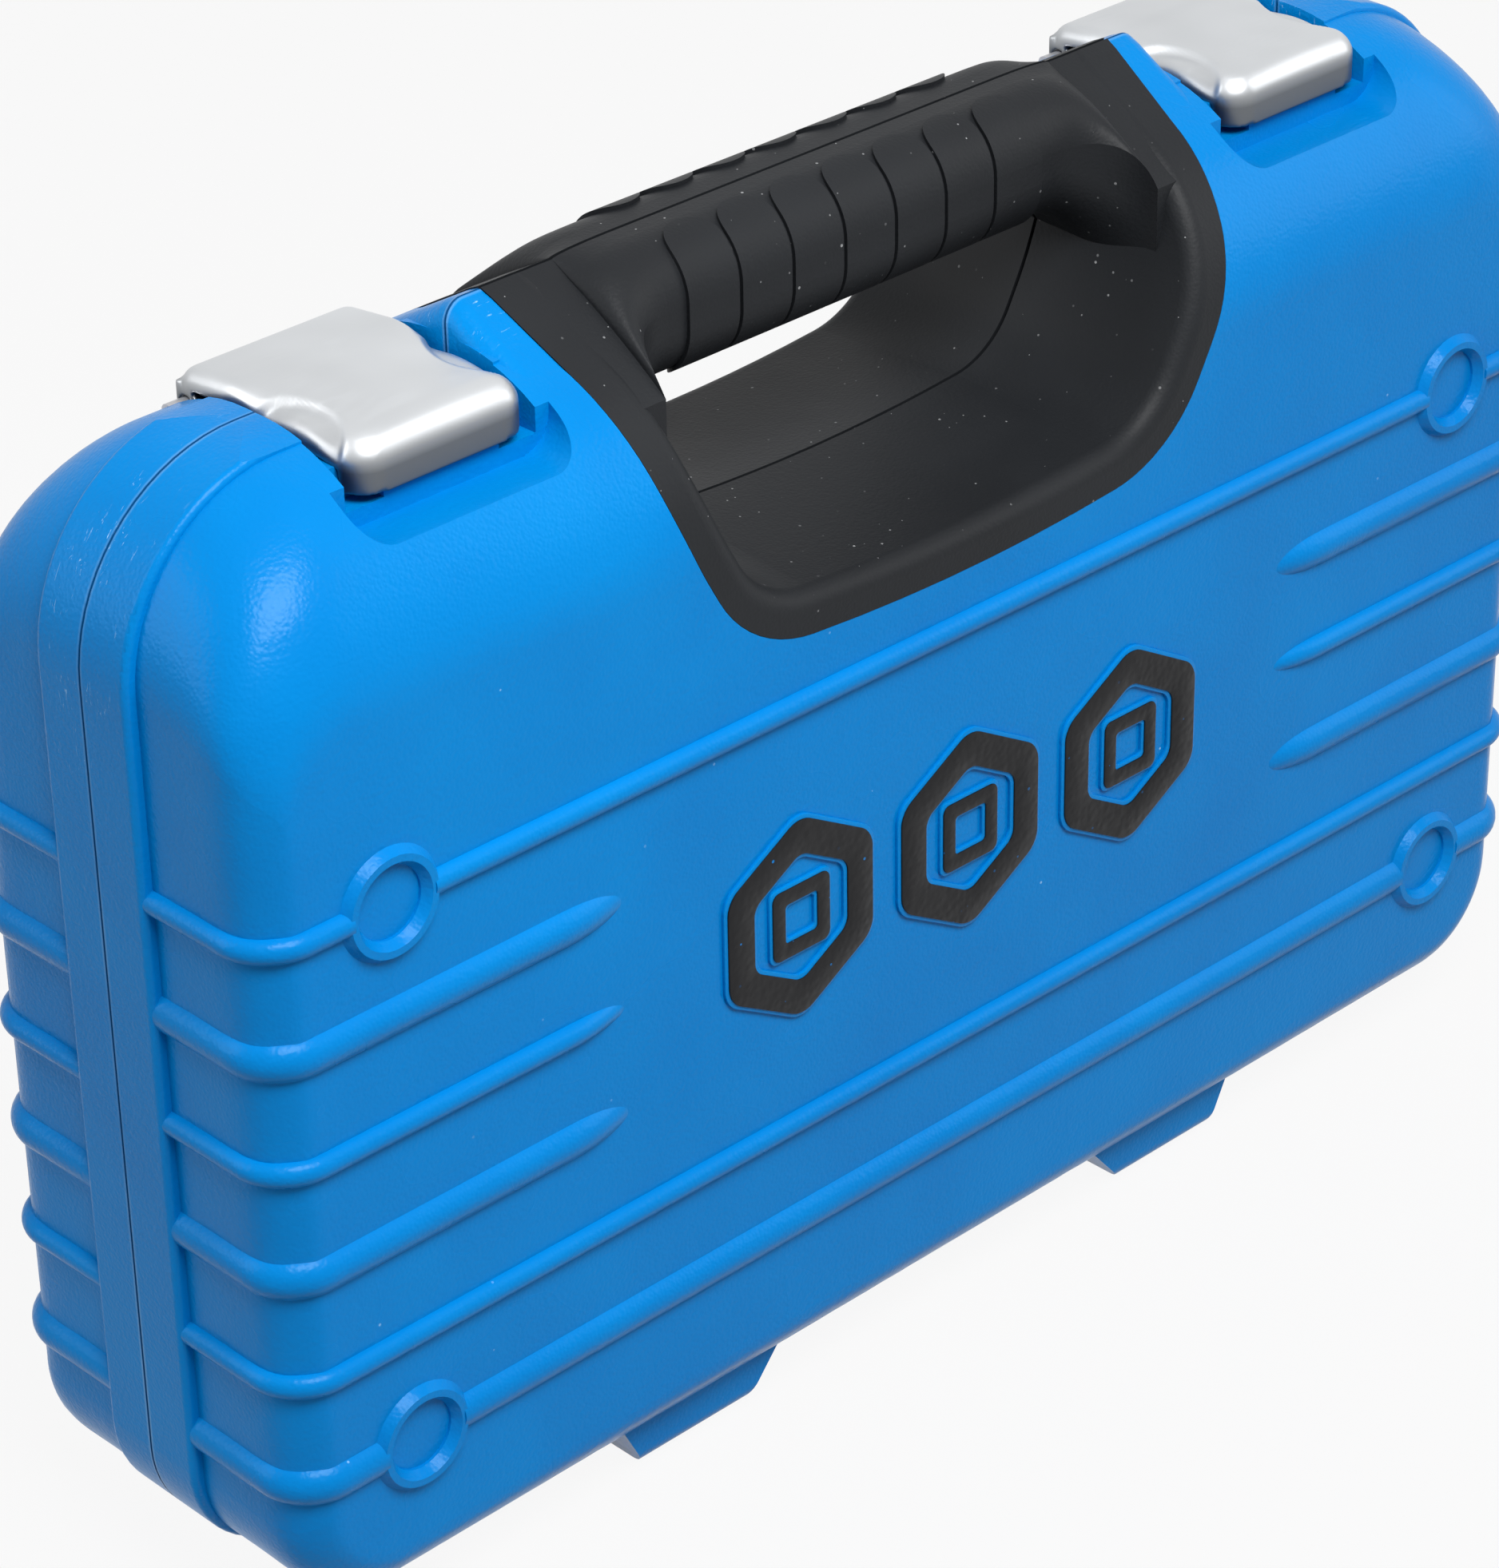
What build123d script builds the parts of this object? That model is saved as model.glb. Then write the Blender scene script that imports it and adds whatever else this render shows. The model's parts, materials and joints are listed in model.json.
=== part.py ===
from build123d import *
import math
import os

# Socket wrench set in a moulded case, standing closed on its feet.
# X runs across the case, the lid faces -Y, Z is up; y = 0 is the parting plane
# between lid and base, and z = 0 is the floor under the feet. Millimetres.

# Case halves
case_width = 350.0
case_height = 223.7
half_depth = 41.7
foot_height = 10.6
flange_reach = 12.5
flange_step = 2.4
bottom_step = 0.5
top_step = 0.5
top_corner = 37.0
bottom_corner = 25.0
face_corner = 15.0
top_round = 39.0
edge_round = 10.0
wall = 2.6
parting_gap = 0.4
flange_round = 1.4
seat_gap = 0.1

# Ribs and rings pressed into both faces
rib_rows = 6
short_rows = [2, 3, 4]
rib_low = 44.1
rib_pitch = 22.82
rib_radius = 2.6
rib_height = 2.1
soft_rib_radius = 4.6
short_rib_end = 86.0
short_rib_fade = 14.0
short_rib_bend = 42.0
rib_bury = 1.2
ring_inset = 30.85
ring_radius = 9.2
ring_width = 4.0
ring_crest = 1.4
ring_height = 1.8
ring_recess = 0.6

# Handle collar, finger opening and grip
handle_low = 173.0
handle_low_half = 57.0
handle_waist = 202.0
handle_waist_half = 73.0
handle_top_half = 82.0
handle_corner = 30.0
handle_waist_round = 90.0
handle_bow = 3.6
handle_gap = 0.8
bezel = 8.3
bezel_round = 4.0
opening_draft = 3.0
gable_rise = 6.6
gable_angle = 30.0
gable_cap = 3.0
grip_thickness = 31.0
grip_height = 27.0
grip_round = 11.0
grip_length = 102.0
grip_flare = 14.0
grip_root = 9.0
grip_sink = 0.3
band_count = 7
band_pitch = 13.4
band_width = 12.5
band_rise = 0.8
band_reach = 6.0
ridge_width = 12.0
ridge_round = 4.0
ridge_drop = 0.3
ridge_reach = 28.0

# Latches
latch_inner = 92.3
latch_width = 39.4
latch_gap = 2.0
latch_sheet = 1.2
latch_crown = 236.0
latch_front = 25.0
latch_lip = 11.0
latch_skirt = 5.2
latch_corner = 6.0
latch_round = 3.0
latch_back_round = 4.5
latch_dip = 0.9
latch_flat = 12.0
latch_sweep = 36.0
latch_pivot_y = 22.0
latch_pivot_drop = 8.3
latch_eye = 2.9
latch_pin_radius = 1.5
ledge_clearance = 0.6
ledge_drop = 6.6
pocket_drop = 16.5
recess_margin = 5.2
recess_corner = 7.0
pocket_round = 3.0
pin_grip = 2.2

# Hinge lugs, which are the feet too
pin_radius = 2.0
running_gap = 0.06
pin_drop = 0.4
barrel_radius = 4.8
foot_inner = 45.0
foot_outer = 89.4
foot_depth = 35.0
foot_taper_inner = 9.0
foot_taper_outer = 5.4
foot_round = 4.0
knuckle_gap = 0.6
knuckle_width = 14.4

# Inner skins
skin = 1.8
tray_set = 6.0
tray_border = 9.0
liner_depth = 24.0
liner_border = 4.0
liner_draft = 6.0
tack_radius = 8.0
tack_x = 105.0
tack_z = 90.0

# Drive system and sockets
drive = 12.7
drive_length = 16.0
drive_play = 0.2
drive_chamfer = 1.2
tool_axis = 8.0
tool_play = 0.6
end_play = 2.0
socket_length = 38.0
socket_gap = 7.0
nut_depth = 17.0
nut_wall = 3.4
nut_growth = 1.22
drive_end = 22.0
drive_end_size = 17
drive_end_growth = 0.6
socket_edge = 0.8
socket_cone = 5.0
bolt_hole = 5.5
bolt_share = 0.44
large_sockets = [24, 22, 21, 19, 18, 17]
small_sockets = [16, 14, 13, 12, 10]
large_row = 103.0
small_row = 142.0
row_inset = 11.0
spark_size = 21
spark_length = 60.0
spark_bore = 40.0
insert_length = 14.0
insert_wall = 3.0
extension_radius = 6.5
extension_collar = 9.2
extension_head = 11.0
extension_head_length = 28.0
extension_taper = 7.0
collar_length = 5.0
long_extension = 250.0
short_extension = 125.0
extension_row = 73.0

# Ratchet
ratchet_y = 6.0
ratchet_z = 40.0
head_radius = 20.5
head_thickness = 22.0
head_chamfer = 1.5
neck_radius = 7.5
neck_reach = 44.0
neck_overlap = 6.0
shaft_radius = 6.8
shaft_taper = 12.0
shaft_swell = 1.2
shaft_end = 222.0
sleeve_start = 112.0
sleeve_end = 232.0
sleeve_radius = 14.0
sleeve_lip = 2.6
sleeve_round = 8.0
sleeve_waist = 3.2
sleeve_waist_at = 30.0
sleeve_swell_at = 40.0
gear_radius = 13.6
gear_teeth = 36
tooth_depth = 1.0
gear_seat = 5.0
hub_radius = 10.0
drive_shoulder = 0.6
cover_thickness = 2.4
cover_border = 3.0
button_radius = 4.8
button_stem = 2.5
button_travel = 2.0
button_rise = 2.4
button_round = 1.0
lever_pivot = 24.0
lever_stem = 2.5
lever_reach = 17.0
lever_swing = 24.0
lever_disc = 6.0
lever_thickness = 3.4
lever_root = 4.6
lever_tip = 3.0
lever_round = 2.4
pawl_half = 6.0
pawl_tail = 3.6
pawl_room = 2.5
pawl_lift = 2.0
pawl_clearance = 1.9
part_gap = 0.3

# Sizes that follow from the ones above
flange_half = case_width / 2
flange_top = foot_height + case_height
body_half = flange_half - flange_step
body_low = foot_height + bottom_step
body_top = flange_top - top_step
rim = parting_gap / 2
handle_rim = handle_gap / 2
arc_z = body_top - top_round
arc_y = half_depth - top_round
ridge_top = flange_top + gable_rise
grip_top = ridge_top + band_rise
grip_low = grip_top - grip_height
latch_outer = latch_inner + latch_width
latch_back = latch_pivot_y + latch_eye
pocket_inner = latch_inner - latch_gap
pocket_outer = latch_outer + latch_gap
ledge_top = latch_crown - ledge_drop
ledge_face = latch_front - latch_sheet - ledge_clearance
pocket_low = latch_crown - pocket_drop
latch_pivot_z = latch_crown - latch_pivot_drop
tray_half = body_half - wall - tray_border
row_left = row_inset - tray_half
extension_left = end_play + skin - tray_half
ratchet_x = head_radius + end_play + skin - tray_half
ring_offset = flange_half - ring_inset
hinge_z = (foot_height - pin_drop) / 2


def prism_y(face, y0, y1):
    """Extrude a face drawn in (x, z) from y0 to y1."""
    return extrude(Plane.XZ.offset(-y1) * face, amount=y1 - y0)


def prism_x(face, x0, x1):
    """Extrude a face drawn in (y, z) from x0 to x1."""
    return extrude(Plane.YZ.offset(x0) * face, amount=x1 - x0)


def polygon(*points):
    return make_face(Polyline(*points, close=True))


def block(x0, x1, y0, y1, z0, z1):
    centre = ((x0 + x1) / 2, (y0 + y1) / 2, (z0 + z1) / 2)
    return Pos(*centre) * Box(x1 - x0, y1 - y0, z1 - z0)


def rod_x(radius, x0, x1, y, z):
    return Pos((x0 + x1) / 2, y, z) * Rot(0, 90, 0) * Cylinder(radius, x1 - x0)


def rod_y(radius, y0, y1, x=0.0, z=0.0):
    return Pos(x, (y0 + y1) / 2, z) * Rot(90, 0, 0) * Cylinder(radius, y1 - y0)


def rod_z(radius, z0, z1, x=0.0, y=0.0):
    return Pos(x, y, (z0 + z1) / 2) * Cylinder(radius, z1 - z0)


def other_side(part):
    return mirror(part, about=Plane.YZ)


def both_sides(part):
    return part + other_side(part)


def to_base(part):
    """Turn a lid-side piece, alike on its left and right, to the base's side."""
    return Rot(0, 0, 180) * part


def round_off(radius, depth):
    """How far an edge of this radius falls back at a depth behind the face."""
    if depth >= radius:
        return 0.0
    return radius - math.sqrt(radius**2 - (radius - depth) ** 2)


def rounded_panel(half, low, high, low_corner, high_corner):
    panel = polygon((-half, low), (half, low), (half, high), (-half, high))
    panel = fillet(panel.vertices().sort_by(Axis.Y)[:2], low_corner)
    return fillet(panel.vertices().sort_by(Axis.Y)[-2:], high_corner)


def half_section(depth, inset):
    """Outline of a case half at a depth behind its flat face, set in all round."""
    crown = top_round - inset
    edge = edge_round - inset
    side = round_off(edge, depth)
    top = round_off(crown, depth)
    high_corner = top_corner - flange_step - inset
    high_corner += (face_corner - inset - high_corner) * top / crown
    low_corner = bottom_corner - flange_step - inset
    low_corner += (face_corner - inset - low_corner) * side / edge
    panel = rounded_panel(
        body_half - inset - side,
        body_low + inset + side,
        body_top - inset - top,
        low_corner,
        high_corner,
    )
    return Plane.XZ.offset(half_depth - inset - depth) * panel


def half_form(inset, back):
    """Lid-side body: flat face, round edges, and a top that rolls back to the rim."""
    edge = edge_round - inset
    crown = top_round - inset
    depths = [edge * (1 - math.cos(math.radians(a))) for a in (0, 25, 50, 75, 90)]
    depths += [crown * (1 - math.cos(math.radians(a))) for a in (57, 68, 79, 90)]
    depths.append(half_depth - inset - back)
    return loft([half_section(depth, inset).faces()[0] for depth in depths])


def handle_outline(grow, rise):
    """Bowl-shaped outline of the handle collar, carried past the ridge by a rise."""
    lean = (handle_top_half - handle_waist_half) / (ridge_top - handle_waist)
    top_half = handle_top_half + lean * rise
    side = make_face(
        [
            ThreePointArc(
                (-handle_low_half, handle_low),
                (0, handle_low - handle_bow),
                (handle_low_half, handle_low),
            ),
            Polyline(
                (handle_low_half, handle_low),
                (handle_waist_half, handle_waist),
                (top_half, ridge_top + rise),
                (-top_half, ridge_top + rise),
                (-handle_waist_half, handle_waist),
                (-handle_low_half, handle_low),
            ),
        ]
    )
    corners = side.vertices().sort_by(Axis.Y)
    side = fillet(corners[:2], handle_corner)
    waist = [v for v in side.vertices() if abs(v.Y - handle_waist) < 0.5]
    side = fillet(waist, handle_waist_round)
    if grow:
        side = offset(side, grow)
    return side


def roll_point(turn, radius):
    """Point on the rolled top of the lid side, turned up from the flat face."""
    angle = math.radians(turn)
    return (-arc_y - radius * math.cos(angle), arc_z + radius * math.sin(angle))


def gable_profile(low, drop, gap):
    """Side profile of the raised middle: the rolled top carried up to a ridge."""
    turn = 90 - gable_angle
    touch = roll_point(turn, top_round)
    shoulder = touch[1] + (-gable_cap - touch[0]) * math.tan(math.radians(gable_angle))
    face = make_face(
        [
            Line((-half_depth, low), (-half_depth, arc_z)),
            ThreePointArc((-half_depth, arc_z), roll_point(turn / 2, top_round), touch),
            Polyline(
                touch,
                (-gable_cap, shoulder),
                (-gap, ridge_top),
                (-gap, low),
                (-half_depth, low),
            ),
        ]
    )
    return Pos(0, -drop) * face


def gable_height(reach):
    """Height of the gable's surface at a distance in front of the parting plane."""
    touch = roll_point(90 - gable_angle, top_round)
    if reach > -touch[0]:
        return arc_z + math.sqrt(top_round**2 - (reach - arc_y) ** 2)
    return touch[1] + (-touch[0] - reach) * math.tan(math.radians(gable_angle))


def flange_band():
    """Band round the parting plane, proud at the sides and fading over the top."""
    panel = rounded_panel(flange_half, foot_height, flange_top, bottom_corner, top_corner)
    band = prism_y(panel, -flange_reach, -rim)
    band = fillet(band.faces().sort_by(Axis.Y)[0].edges(), flange_round)
    radius = top_round + top_step
    front = half_depth + top_step
    fade = make_face(
        [
            Line((-front, 0), (-front, arc_z)),
            ThreePointArc((-front, arc_z), roll_point(45, radius), roll_point(90, radius)),
            Polyline(roll_point(90, radius), (0, flange_top), (0, 0), (-front, 0)),
        ]
    )
    return band & prism_x(fade, -flange_half, flange_half)


def latch_ridge():
    """Ridge between handle and latch: the gable's profile, rounded towards the latch."""
    profile = gable_profile(handle_low, ridge_drop, rim)
    ridge = prism_x(profile, pocket_inner - ridge_width, pocket_inner)
    rims = [(e, e.bounding_box()) for e in ridge.faces().sort_by(Axis.X)[-1].edges()]
    crest = [e for e, box in rims if box.max.Z > arc_z + 1 and box.size.Y > 1]
    ridge = fillet(crest, ridge_round)
    return ridge & block(0, flange_half, -ridge_reach, 0, arc_z, ridge_top)


def rib_path(z, sink, points):
    corner = edge_round - sink
    radii = [corner] * (len(points) - 2)
    return FilletPolyline(*[(x, y, z) for x, y in points], radius=radii)


def bead(path, radius):
    start = Plane(origin=path @ 0, z_dir=path % 0)
    return sweep(start * Circle(radius), path)


def rib(z, radius, short):
    """Half-round rib round a half: full width, or two stubs that fade into the face."""
    sink = radius - rib_height
    side = body_half - sink
    face = half_depth - sink
    start = -flange_reach + rib_bury
    if not short:
        points = [(-side, start), (-side, -face), (side, -face), (side, start)]
        return bead(rib_path(z, sink, points), radius)
    bend = short_rib_end + short_rib_fade
    points = [
        (-side, start, z),
        (-side, -face, z),
        (-bend, -face, z),
        (-short_rib_end, -face + rib_height + rib_bury, z),
    ]
    path = FilletPolyline(*points, radius=[edge_round - sink, short_rib_bend])
    return both_sides(bead(path, radius))


def ring(x, z):
    """Raised ring with sloping flanks, sunk a little into the face."""
    crest = ring_crest / 2
    foot = ring_width / 2
    profile = polygon(
        (ring_radius - foot, -ring_recess),
        (ring_radius - foot, 0),
        (ring_radius - crest, ring_height),
        (ring_radius + crest, ring_height),
        (ring_radius + foot, 0),
        (ring_radius + foot, -ring_recess),
    )
    body = revolve(Plane.XZ * profile, Axis.Z)
    return Pos(x, -half_depth, z) * Rot(90, 0, 0) * body


def half_outside():
    """Outside of the lid half: body, flange band, ribs, rings and latch ridges."""
    shape = half_form(0.0, rim) + flange_band()
    for row in range(rib_rows):
        soft = row % 2 == 0
        radius = soft_rib_radius if soft else rib_radius
        shape += rib(rib_low + row * rib_pitch, radius, row in short_rows)
    shape += both_sides(latch_ridge())
    for z in (rib_low, rib_low + (rib_rows - 1) * rib_pitch):
        for x in (-ring_offset, ring_offset):
            shape -= rod_y(ring_radius, -half_depth - soft_rib_radius, -half_depth + ring_recess, x, z)
            shape += ring(x, z)
    return shape


def latch_keep_out(grow):
    """Room that the latch pockets and their walls take up behind the rolled top."""
    margin = recess_margin + grow
    low = pocket_low - wall - grow
    deep = half_depth + wall
    room = block(latch_inner - margin, latch_outer + margin, -deep, deep, low, ridge_top + wall)
    return both_sides(room)


def half_inside(inset):
    """Room inside the lid half, clear of the handle collar and latch pockets."""
    room = half_form(inset, 0.0)
    room -= prism_y(handle_outline(seat_gap + inset, bezel), -half_depth, half_depth)
    return room - latch_keep_out(inset)


def lid_lug(x0, x1):
    """Foot of the lid: tapered block in front, hinge barrel at the parting plane."""
    root = body_low + wall / 2
    rise = root / foot_height
    face = polygon(
        (x0, root),
        (x1, root),
        (x1 - foot_taper_outer * rise, 0),
        (x0 + foot_taper_inner * rise, 0),
    )
    foot = prism_y(face, -foot_depth, -barrel_radius - part_gap)
    nose = foot.edges().filter_by(Axis.X).group_by(Axis.Z)[0].sort_by(Axis.Y)[0]
    foot = fillet(nose, foot_round)
    return foot + knuckle(x0, x1)


def knuckle(x0, x1):
    """Hinge barrel with the web that carries it, on the lid side."""
    web = block(x0, x1, -barrel_radius - part_gap, -rim, hinge_z - barrel_radius, body_low + wall / 2)
    return rod_x(barrel_radius, x0, x1, 0, hinge_z) + web


def base_lug(x0, x1):
    """Foot of the base: straight block behind the barrel."""
    root = body_low + wall / 2
    foot = block(x0, x1, -foot_depth, -barrel_radius - part_gap, 0, root)
    nose = foot.edges().filter_by(Axis.X).group_by(Axis.Z)[0].sort_by(Axis.Y)[0]
    return fillet(nose, foot_round) + knuckle(x0, x1)


def lid_pocket():
    """Recess for the latch on the lid: a round-cornered scoop and the ledge behind it."""
    over = ridge_top + half_depth
    cut = block(pocket_inner, pocket_outer, -ledge_face - 1, 1, ledge_top, over)
    scoop = polygon(
        (latch_inner - recess_margin, pocket_low),
        (latch_outer + recess_margin, pocket_low),
        (latch_outer + recess_margin, over),
        (latch_inner - recess_margin, over),
    )
    scoop = fillet(scoop.vertices().sort_by(Axis.Y)[:2], recess_corner)
    return both_sides(cut + prism_y(scoop, -half_depth - wall, -ledge_face))


def ledge_ends():
    """Notches at the ends of the ledges for the round front corners of the latches."""
    behind = latch_corner + ledge_clearance - latch_front
    low = latch_crown - latch_lip - latch_gap
    reach = latch_corner + ledge_clearance
    front = -ledge_face - 1
    notch = block(pocket_inner, latch_inner + reach, front, behind, low, ledge_top + 1)
    notch += block(latch_outer - reach, pocket_outer, front, behind, low, ledge_top + 1)
    return both_sides(notch)


def base_pocket():
    """Recess for the latch on the base, dropping to clear its hinge eye."""
    reach = half_depth + wall
    over = ridge_top + half_depth
    eye_floor = latch_pivot_z - latch_eye - latch_gap
    step = latch_eye + latch_gap - latch_pivot_y
    profile = polygon(
        (1, over),
        (1, ledge_top),
        (step + latch_gap, ledge_top),
        (step, eye_floor),
        (-reach, eye_floor - latch_gap),
        (-reach, over),
    )
    cut = prism_x(profile, pocket_inner, pocket_outer)
    floor = [e for e in cut.edges() if e.bounding_box().max.Z < eye_floor + 0.1]
    corners = [e for e in floor if e.bounding_box().size.X < 0.1]
    return both_sides(fillet(corners, pocket_round))


def half_shell():
    """What both halves share: a hollow half with the notch for the handle."""
    shape = half_outside() - half_inside(wall)
    return shape - prism_y(handle_outline(seat_gap, bezel), -half_depth - wall, half_depth)


def lid_shell(half):
    shape = half + both_sides(lid_lug(foot_inner, foot_outer))
    shape -= lid_pocket() + ledge_ends()
    return shape - rod_x(pin_radius + running_gap, -flange_half, flange_half, 0, hinge_z)


def base_shell(half):
    """Drawn on the lid's side and turned round at the end."""
    inner = base_lug(foot_inner - knuckle_gap - knuckle_width, foot_inner - knuckle_gap)
    outer = base_lug(foot_outer + knuckle_gap, foot_outer + knuckle_gap + knuckle_width)
    shape = half + both_sides(inner + outer) - base_pocket()
    shape -= rod_x(pin_radius, -flange_half, flange_half, 0, hinge_z)
    return to_base(shape - both_sides(to_base(latch_pin())))


def hinge_pin():
    reach = knuckle_gap + knuckle_width
    return rod_x(pin_radius, foot_inner - reach, foot_outer + reach, 0, hinge_z)


def latch_pin():
    ends = (pocket_inner - pin_grip, pocket_outer + pin_grip)
    return rod_x(latch_pin_radius, *ends, latch_pivot_y, latch_pivot_z)


def latch_cap(inset):
    """Outside of the pressed latch as a block, set in by the sheet for its inside."""
    top = latch_crown - inset
    low = latch_crown - latch_lip
    front = -latch_front + inset
    back = latch_back - inset
    left = latch_inner + inset
    right = latch_outer - inset
    dip = top - latch_dip
    crest = FilletPolyline(
        (front, dip),
        (front + latch_flat, dip),
        (latch_pivot_y - latch_flat, top),
        (back, top - 2 * latch_dip),
        (back, low),
        radius=[latch_sweep, latch_flat, latch_back_round - inset],
    )
    foot = Polyline((back, low), (front, low), (front, dip))
    cap = prism_x(make_face([*crest.edges(), *foot.edges()]), left, right)
    posts = [e for e in cap.edges().filter_by(Axis.Z) if e.center().Y < 0]
    cap = fillet(posts, latch_corner - inset)
    rims = [e for e in cap.edges() if e.bounding_box().min.Z > dip - latch_back_round]
    sides = [e for e in rims if min(e.center().X - left, right - e.center().X) < latch_corner]
    crown = sides + [e for e in rims if e.center().Y < front + 0.1]
    crown = [e for e in crown if e.bounding_box().size.X < 0.01 or e.center().Y < front + latch_corner]
    return fillet(crown, latch_round - inset)


def latch():
    """Pressed steel clip: crowned cap with a deep front lip, shallow sides, rolled eye."""
    clip = latch_cap(0.0) - latch_cap(latch_sheet)
    hem = latch_crown - latch_skirt
    low = latch_crown - latch_lip - 1
    behind = latch_corner - latch_front
    clip -= block(latch_inner - 1, latch_outer + 1, behind, latch_back + 1, low, hem)
    back = block(latch_inner, latch_outer, latch_back - latch_sheet, latch_back, latch_pivot_z, hem + 1)
    clip += back
    clip += rod_x(latch_eye, latch_inner, latch_outer, latch_pivot_y, latch_pivot_z)
    bore = latch_pin_radius + running_gap
    return clip - rod_x(bore, latch_inner - 1, latch_outer + 1, latch_pivot_y, latch_pivot_z)


def grip_section(grow, merge):
    """Lid-side half of the grip's section, grown at its front and foot, its top merged
    into the gable from 0, not at all, to 1, just under it."""
    half = grip_thickness / 2
    reach = half + grow
    low = grip_low - grow
    corner = grip_round * (1 - math.sqrt(0.5))

    def settle(y, z):
        return (-y, z + (gable_height(y) - grip_sink - z) * merge)

    start = settle(handle_rim, grip_top)
    shoulder = [
        settle(half - grip_round, grip_top),
        settle(half - corner + grow / 2, grip_top - corner),
        settle(reach, grip_top - grip_round),
    ]
    return make_face(
        [
            Line(start, shoulder[0]),
            ThreePointArc(*shoulder),
            Line(shoulder[2], (-reach, low + grip_round)),
            ThreePointArc(
                (-reach, low + grip_round),
                (-reach + corner, low + corner),
                (-reach + grip_round, low),
            ),
            Polyline((-reach + grip_round, low), (-handle_rim, low), start),
        ]
    )


def grip_bar():
    """Plain middle of the grip with its raised finger bands, each with a round upper end."""
    half = grip_length / 2
    bar = prism_x(grip_section(0, 0), -half, half)
    pad = prism_x(offset(grip_section(0, 0), band_rise), -half, half)
    length = grip_thickness
    for i in range(band_count):
        x = (i - (band_count - 1) / 2) * band_pitch
        slot = Pos(x, -band_reach - length / 2) * Rot(0, 0, 90) * SlotOverall(length, band_width)
        bar += pad & (Pos(0, 0, grip_low - grip_height / 2) * extrude(slot, 2 * grip_height))
    return bar


def grip_flare_end():
    """Right end of the grip: swept out to the collar like a large fillet, then rooted in it."""
    half = grip_length / 2
    sections = []
    for angle in (0, 30, 55, 75, 90):
        turn = math.radians(angle)
        merge = 1 - math.cos(turn)
        plane = Plane.YZ.offset(half + grip_flare * math.sin(turn))
        sections.append((plane * grip_section(grip_flare * merge, merge)).faces()[0])
    flare = loft(sections)
    flare += extrude(flare.faces().sort_by(Axis.X)[-1], grip_root, dir=(1, 0, 0))
    return flare & prism_y(handle_outline(0, bezel), -half_depth, 0)


def handle_half():
    """Lid-side half of the handle: collar, drafted finger opening and half the grip."""
    reach = handle_top_half + bezel
    collar = prism_y(handle_outline(0, bezel), -half_depth, -handle_rim)
    collar &= prism_x(gable_profile(handle_low - reach, 0, handle_rim), -reach, reach)
    mouth = Plane.XZ.offset(half_depth) * handle_outline(-bezel, grip_height)
    draft = math.degrees(math.atan(opening_draft / half_depth))
    opening = extrude(mouth, amount=-half_depth - 1, taper=draft)
    collar -= opening
    edge = [e for e in collar.edges() if e.bounding_box().max.Y < -2 * handle_rim]
    edge = [e for e in edge if opening.distance_to(e.position_at(0.4)) < 0.01]
    collar = fillet(edge, bezel_round)
    flare = grip_flare_end()
    return collar + flare + other_side(flare) + grip_bar()


def lid_liner():
    """Inner skin of the lid: rim plate and a drawn tub, tacked to the outer skin."""
    fit = half_inside(wall + part_gap)
    plate = fit & block(-flange_half, flange_half, -rim - 2 * skin, -rim - skin, 0, ridge_top)
    half = body_half - wall - liner_border
    low = body_low + wall + liner_border
    high = handle_low - handle_bow - seat_gap - wall - skin - part_gap
    corner = edge_round + liner_border
    mouth = rounded_panel(half, low, high, corner, corner)
    floor = rounded_panel(
        half - liner_draft,
        low + liner_draft,
        high - liner_draft,
        corner - liner_draft,
        corner - liner_draft,
    )
    tub = skin_loft(mouth, floor, -rim - skin, -liner_depth, skin)
    hollow = skin_loft(mouth, floor, -rim - skin + part_gap, -liner_depth + skin, 0.0)
    shape = plate + tub - hollow
    face = half_depth - wall
    for x in (-tack_x, 0, tack_x):
        shape += rod_y(tack_radius, -face, -liner_depth + skin / 2, x, tack_z)
    return shape


def skin_loft(mouth, floor, y0, y1, grow):
    near = Plane.XZ.offset(-y0) * (offset(mouth, grow) if grow else mouth)
    far = Plane.XZ.offset(-y1) * (offset(floor, grow) if grow else floor)
    return loft([near.faces()[0], far.faces()[0]])


def nut_diameter(size):
    return nut_growth * size + nut_wall


def drive_diameter(size):
    return drive_end + drive_end_growth * max(0, size - drive_end_size)


def socket_radius(size):
    return max(nut_diameter(size), drive_diameter(size)) / 2


def drive_hole(depth):
    side = drive + 2 * drive_play
    return extrude(Rectangle(side, side), depth)


def socket(size, length, depth):
    """Socket standing on its drive end: turned body, square drive, six-sided mouth."""
    r0 = drive_diameter(size) / 2
    r1 = nut_diameter(size) / 2
    neck = drive_length + socket_edge
    half = polygon(
        (0, 0),
        (r0 - socket_edge, 0),
        (r0, socket_edge),
        (r0, neck),
        (r1, neck + socket_cone),
        (r1, length - socket_edge),
        (r1 - socket_edge, length),
        (0, length),
    )
    body = revolve(Plane.XZ * half, Axis.Z)
    body -= drive_hole(drive_length)
    mouth = extrude(RegularPolygon(size / math.sqrt(3), 6), depth)
    body -= Pos(0, 0, length - depth) * mouth
    return body - rod_z(min(bolt_hole, bolt_share * size), 1, length - 1)


def row_places(sizes, left):
    """Centres along X for a row of sockets, each the same gap from the next."""
    places = []
    x = left
    for size in sizes:
        x += socket_radius(size)
        places.append((size, x))
        x += socket_radius(size) + socket_gap
    return places


def socket_places():
    places = []
    for sizes, z in ((large_sockets, large_row), (small_sockets, small_row)):
        for size, x in row_places(sizes, row_left):
            places.append((size, x, z - socket_length / 2))
    return places


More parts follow.
